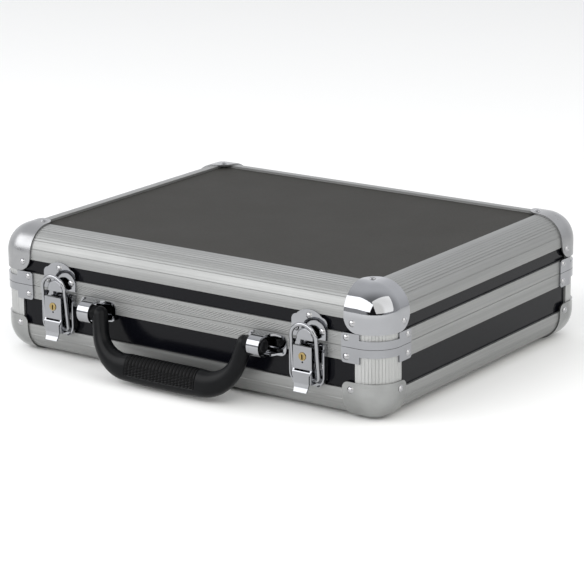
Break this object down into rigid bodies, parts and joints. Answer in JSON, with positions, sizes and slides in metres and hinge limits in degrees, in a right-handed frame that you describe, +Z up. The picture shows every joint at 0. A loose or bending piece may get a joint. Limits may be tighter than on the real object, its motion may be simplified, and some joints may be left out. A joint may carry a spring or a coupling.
{
  "type": "hard-shell art supply case",
  "caption": "Flat hard-shell carry case for art supplies: black boards in a satin aluminium frame, chrome corners, keyed draw latches, hinged lid and folding handle.",
  "frame": {"origin": "centre of the underside of the whole object's box, which is the plane that the case lies on", "axes": "+Z up through the lid, -Y towards the front with the handle and the latches, +X to the right along the case's width"},
  "size_m": [0.3556, 0.3146, 0.1006],
  "materials": {
    "laminate_top": "matte warm dark grey laminate",
    "laminate_black": "semi-gloss blue-black laminate",
    "aluminium_satin": "satin, with fine lengthwise extrusion lines",
    "foam_lining": "black foam with a short nap",
    "handle_plastic": "satin black moulding with a ribbed grip",
    "brass_lock": "turned and lightly worn",
    "nickel_rivet": "nickel-plated steel",
    "chrome_plate": "bright chrome-plated pressed steel"
  },
  "bodies": {
    "case_base": {"base_ball_corners": "chrome_plate", "base_board_back": "laminate_black", "base_board_bottom": "laminate_black", "base_board_front": "laminate_black", "base_board_left": "laminate_black", "base_board_right": "laminate_black", "base_corner_posts": "aluminium_satin", "base_edge_back": "aluminium_satin", "base_edge_front": "aluminium_satin", "base_edge_left": "aluminium_satin", "base_edge_right": "aluminium_satin", "base_lining": "foam_lining", "base_rim_back": "aluminium_satin", "base_rim_clamps": "chrome_plate", "base_rim_front": "aluminium_satin", "base_rim_left": "aluminium_satin", "base_rim_right": "aluminium_satin", "base_rivets": "nickel_rivet", "handle_bracket_left": "chrome_plate", "handle_bracket_right": "chrome_plate", "hinge_leaves_base": "chrome_plate", "hinge_pins": "nickel_rivet", "latch_pin_left": "nickel_rivet", "latch_pin_right": "nickel_rivet", "latch_plate_left": "chrome_plate", "latch_plate_right": "chrome_plate"},
    "lid": {"hinge_leaves_lid": "chrome_plate", "latch_keeper_left": "chrome_plate", "latch_keeper_right": "chrome_plate", "lid_ball_corners": "chrome_plate", "lid_board_back": "laminate_black", "lid_board_front": "laminate_black", "lid_board_left": "laminate_black", "lid_board_right": "laminate_black", "lid_board_top": "laminate_top", "lid_corner_posts": "aluminium_satin", "lid_edge_back": "aluminium_satin", "lid_edge_front": "aluminium_satin", "lid_edge_left": "aluminium_satin", "lid_edge_right": "aluminium_satin", "lid_lining": "foam_lining", "lid_rim_back": "aluminium_satin", "lid_rim_clamps": "chrome_plate", "lid_rim_front": "aluminium_satin", "lid_rim_left": "aluminium_satin", "lid_rim_right": "aluminium_satin", "lid_rivets": "nickel_rivet"},
    "latch_lever_left": {"latch_lever_left": "chrome_plate"},
    "latch_bail_left": {"latch_bail_left": "chrome_plate"},
    "latch_lock_left": {"lock_plug_left": "brass_lock", "lock_cam_left": "chrome_plate"},
    "latch_lever_right": {"latch_lever_right": "chrome_plate"},
    "latch_bail_right": {"latch_bail_right": "chrome_plate"},
    "latch_lock_right": {"lock_plug_right": "brass_lock", "lock_cam_right": "chrome_plate"},
    "carry_handle": {"handle": "handle_plastic"}
  },
  "joints": [
    {"name": "lid_hinge", "type": "hinge", "parent": "case_base", "child": "lid", "pos_m": [0, 0.15443, 0.0551], "axis": [-1, 0, 0], "range_deg": [0, 100]},
    {"name": "handle_hinge", "type": "hinge", "parent": "case_base", "child": "carry_handle", "pos_m": [0, -0.14056, 0.0473], "axis": [-1, 0, 0], "range_deg": [-14, 166]},
    {"name": "latch_left", "type": "hinge", "parent": "case_base", "child": "latch_lever_left", "pos_m": [-0.114, -0.13356, 0.0499], "axis": [-1, 0, 0], "range_deg": [0, 95]},
    {"name": "bail_left", "type": "hinge", "parent": "latch_lever_left", "child": "latch_bail_left", "pos_m": [-0.114, -0.13447, 0.0276], "axis": [-1, 0, 0], "range_deg": [-95, 0]},
    {"name": "lock_left", "type": "hinge", "parent": "latch_lever_left", "child": "latch_lock_left", "pos_m": [-0.114, -0.13897, 0.0451], "axis": [0, -1, 0], "range_deg": [0, 90]},
    {"name": "latch_right", "type": "hinge", "parent": "case_base", "child": "latch_lever_right", "pos_m": [0.114, -0.13356, 0.0499], "axis": [-1, 0, 0], "range_deg": [0, 95]},
    {"name": "bail_right", "type": "hinge", "parent": "latch_lever_right", "child": "latch_bail_right", "pos_m": [0.114, -0.13447, 0.0276], "axis": [-1, 0, 0], "range_deg": [-95, 0]},
    {"name": "lock_right", "type": "hinge", "parent": "latch_lever_right", "child": "latch_lock_right", "pos_m": [0.114, -0.13897, 0.0451], "axis": [0, -1, 0], "range_deg": [0, 90]}
  ],
  "couplings": [
    {"joint": "bail_left", "follows": "latch_left", "ratio": -1},
    {"joint": "bail_right", "follows": "latch_right", "ratio": -1}
  ]
}
